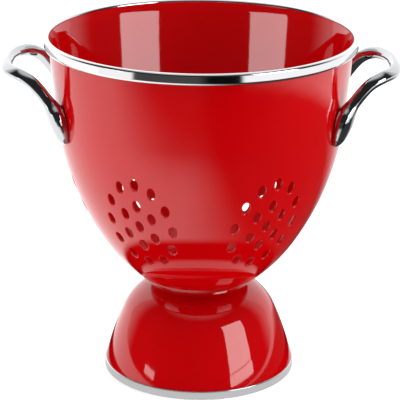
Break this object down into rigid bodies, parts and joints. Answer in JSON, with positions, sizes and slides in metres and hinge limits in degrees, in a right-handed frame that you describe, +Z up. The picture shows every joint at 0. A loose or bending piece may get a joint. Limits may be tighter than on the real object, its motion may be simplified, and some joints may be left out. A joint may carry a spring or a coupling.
{
  "type": "footed colander",
  "caption": "Deep perforated enamel bowl on a bell-shaped pedestal foot, with metal-banded rims and cast loop handles",
  "frame": {"origin": "on the table under the middle of the bowl", "axes": "+Z up along the bowl's axis, +X from the bowl towards the right handle, +Y away from the viewer"},
  "size_m": [0.203, 0.16, 0.1805],
  "materials": {
    "enamel": "glossy vitreous enamel",
    "stainless": "polished",
    "chrome": "mirror chrome plate",
    "screw_steel": "plain stainless",
    "washer_rubber": "matt silicone"
  },
  "bodies": {
    "root": {"bowl_shell": "enamel", "foot_shell": "enamel", "rim_band": "stainless", "foot_band": "stainless", "handle_left": "chrome", "handle_right": "chrome", "screw_left_front": "screw_steel", "screw_left_back": "screw_steel", "screw_right_front": "screw_steel", "screw_right_back": "screw_steel", "washer_left_front": "washer_rubber", "washer_left_back": "washer_rubber", "washer_right_front": "washer_rubber", "washer_right_back": "washer_rubber"}
  },
  "joints": []
}
